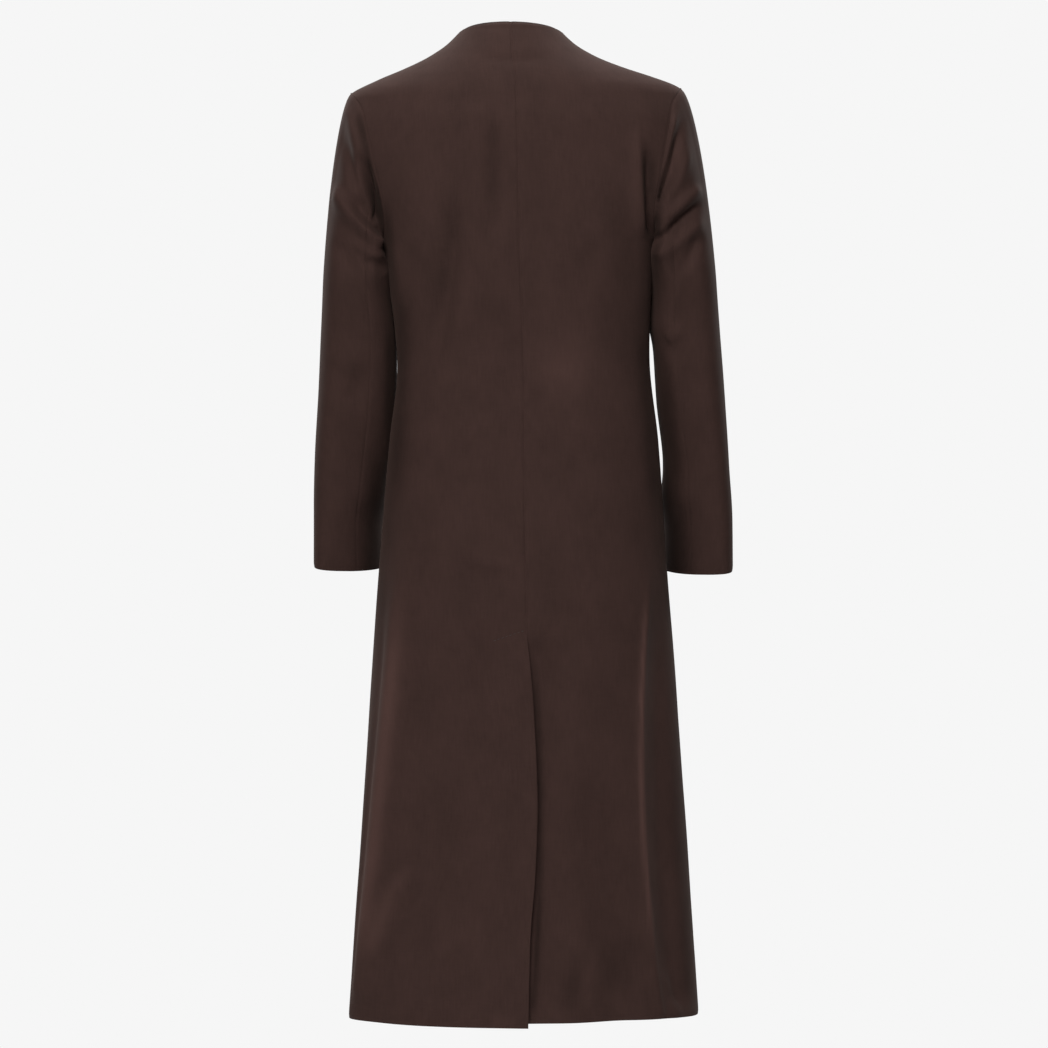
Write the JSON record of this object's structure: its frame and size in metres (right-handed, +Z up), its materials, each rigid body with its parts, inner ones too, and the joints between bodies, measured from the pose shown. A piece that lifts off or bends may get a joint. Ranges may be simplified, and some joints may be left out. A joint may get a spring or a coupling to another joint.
{
  "type": "collarless coat",
  "caption": "Long dark brown collarless wool coat in its worn, hollow form, with a centre back seam, a lapped back vent, set-in sleeves and an open front.",
  "frame": {"origin": "midway between the two shoulder tips, where the wearer's shoulders hold the coat up", "axes": "+Z up, -Y towards the viewer of the coat's back, +X towards the wearer's right"},
  "size_m": [0.5178, 0.3029, 1.211],
  "materials": {
    "coat_wool": "matte woven wool"
  },
  "bodies": {
    "root": {"back_left": "coat_wool", "back_right": "coat_wool", "front_left": "coat_wool", "front_right": "coat_wool", "top_sleeve_left": "coat_wool", "top_sleeve_right": "coat_wool", "under_sleeve_left": "coat_wool", "under_sleeve_right": "coat_wool"}
  },
  "joints": []
}
